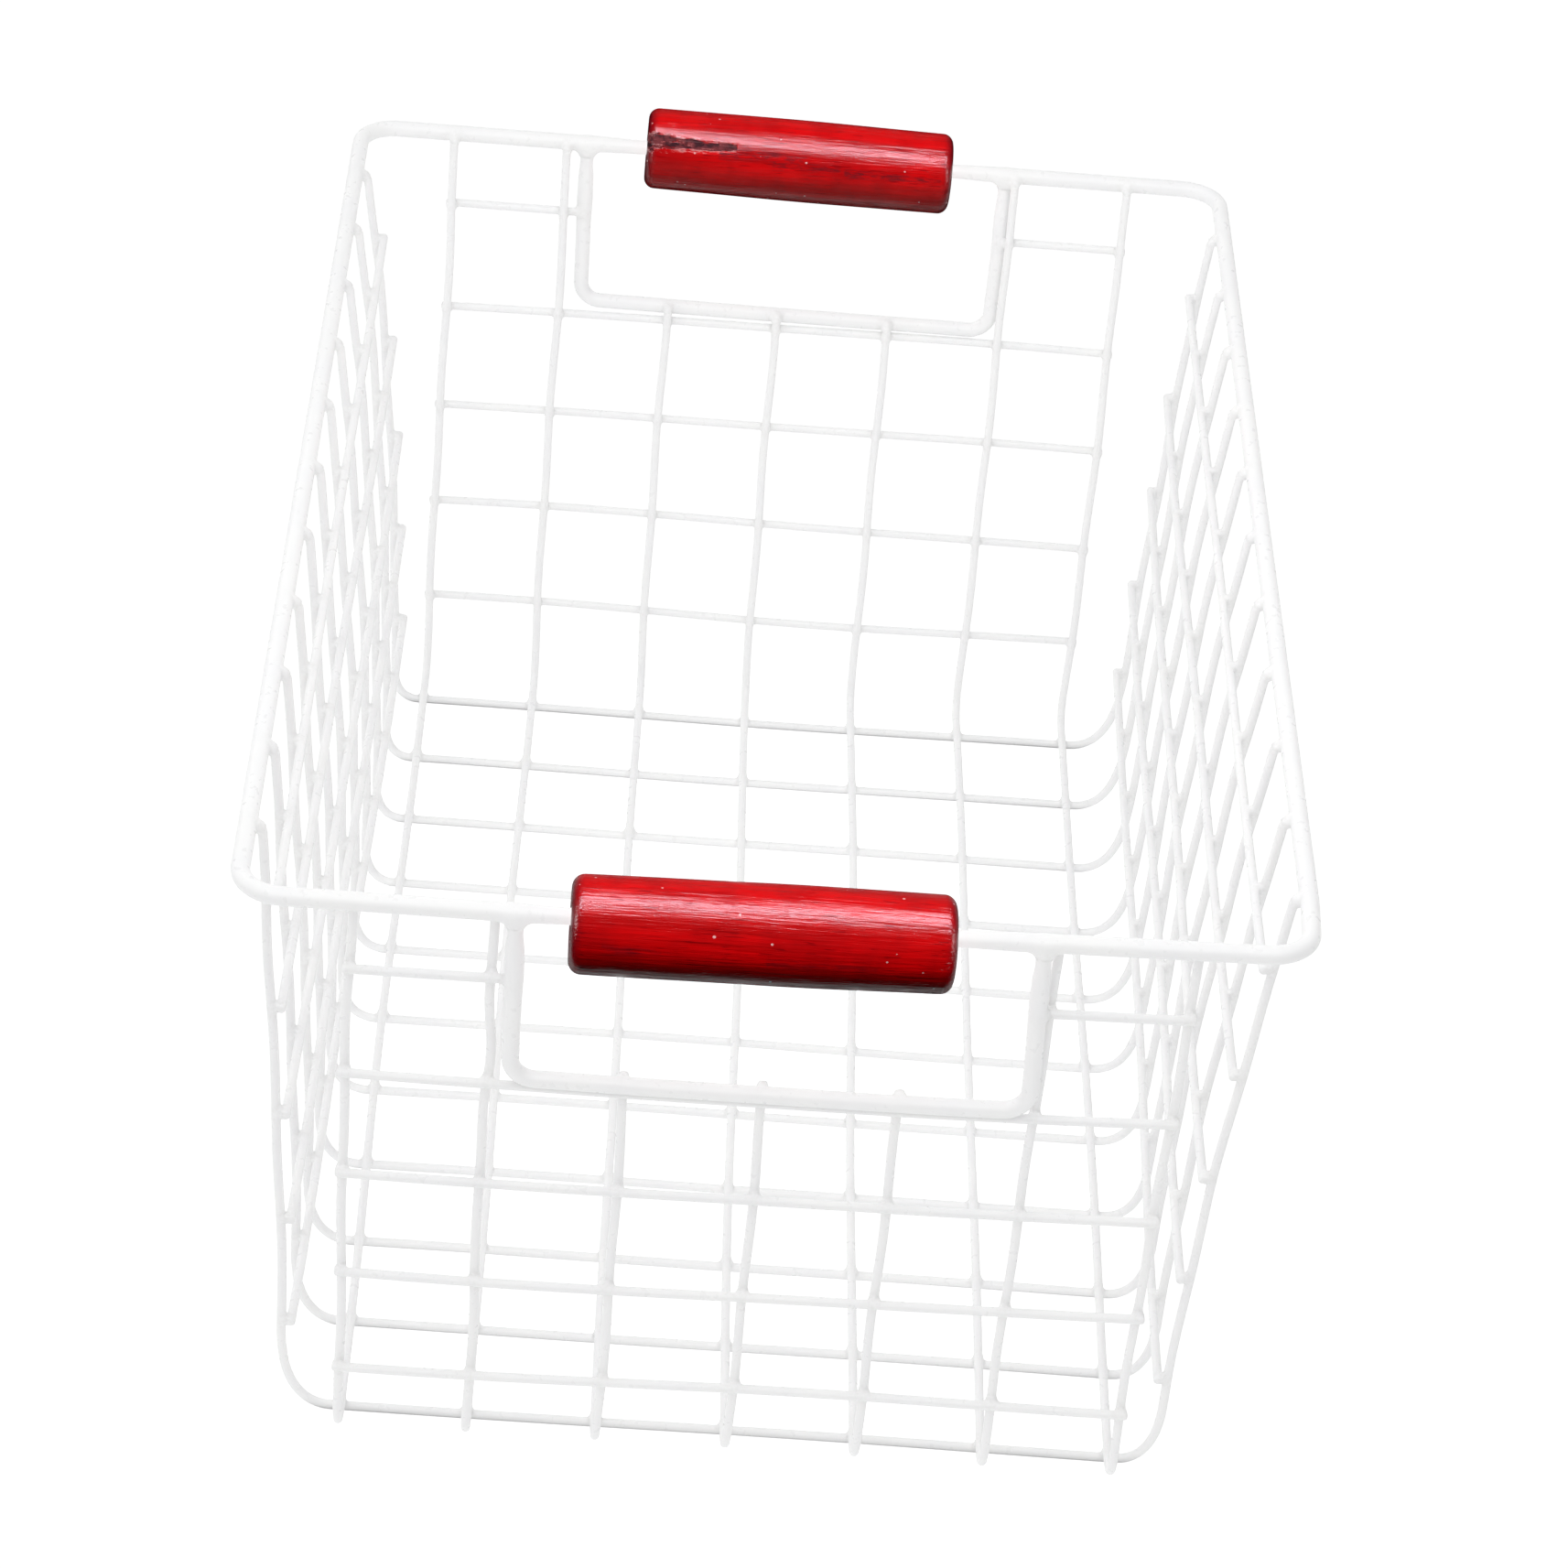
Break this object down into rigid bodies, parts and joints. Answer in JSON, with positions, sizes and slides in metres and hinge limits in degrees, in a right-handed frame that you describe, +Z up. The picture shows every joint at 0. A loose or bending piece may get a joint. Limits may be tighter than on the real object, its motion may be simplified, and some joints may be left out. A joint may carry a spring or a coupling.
{
  "type": "wire egg collection basket",
  "caption": "Open rectangular basket of white coated welded wire, with a heavy rim wire and a turned red wooden grip that spins on the rim over a U-shaped bracket at each end.",
  "frame": {"origin": "middle of the floor, on the surface the basket stands on", "axes": "+Z up, +Y along the basket from the front grip to the rear grip, +X to the right across it"},
  "size_m": [0.2954, 0.4645, 0.2242],
  "materials": {
    "white_coating": "gloss white dip coating over welded wire",
    "red_lacquer": "worn gloss red lacquer over fine-grained wood"
  },
  "bodies": {
    "tray": {"rim": "white_coating", "front_handle_bracket": "white_coating", "rear_handle_bracket": "white_coating", "long_wire_1": "white_coating", "long_wire_2": "white_coating", "long_wire_3": "white_coating", "long_wire_4": "white_coating", "long_wire_5": "white_coating", "long_wire_6": "white_coating", "long_wire_7": "white_coating", "cross_wire_1": "white_coating", "cross_wire_2": "white_coating", "cross_wire_3": "white_coating", "cross_wire_4": "white_coating", "cross_wire_5": "white_coating", "cross_wire_6": "white_coating", "cross_wire_7": "white_coating", "cross_wire_8": "white_coating", "cross_wire_9": "white_coating", "cross_wire_10": "white_coating", "cross_wire_11": "white_coating", "front_row_1_left": "white_coating", "front_row_1_right": "white_coating", "front_row_2": "white_coating", "front_row_3": "white_coating", "front_row_4": "white_coating", "front_row_5": "white_coating", "rear_row_1_left": "white_coating", "rear_row_1_right": "white_coating", "rear_row_2": "white_coating", "rear_row_3": "white_coating", "rear_row_4": "white_coating", "rear_row_5": "white_coating", "left_row_1": "white_coating", "left_row_2": "white_coating", "left_row_3": "white_coating", "left_row_4": "white_coating", "left_row_5": "white_coating", "right_row_1": "white_coating", "right_row_2": "white_coating", "right_row_3": "white_coating", "right_row_4": "white_coating", "right_row_5": "white_coating"},
    "front_handle": {"front_grip": "red_lacquer"},
    "rear_handle": {"rear_grip": "red_lacquer"}
  },
  "joints": [
    {"name": "front_grip_spin", "type": "hinge", "parent": "tray", "child": "front_handle", "pos_m": [-0.0044, -0.2175, 0.2085], "axis": [0.9997, 0.0244, 0], "continuous": true},
    {"name": "rear_grip_spin", "type": "hinge", "parent": "tray", "child": "rear_handle", "pos_m": [0.0023, 0.2185, 0.21], "axis": [0.9999, 0, -0.014], "continuous": true}
  ]
}
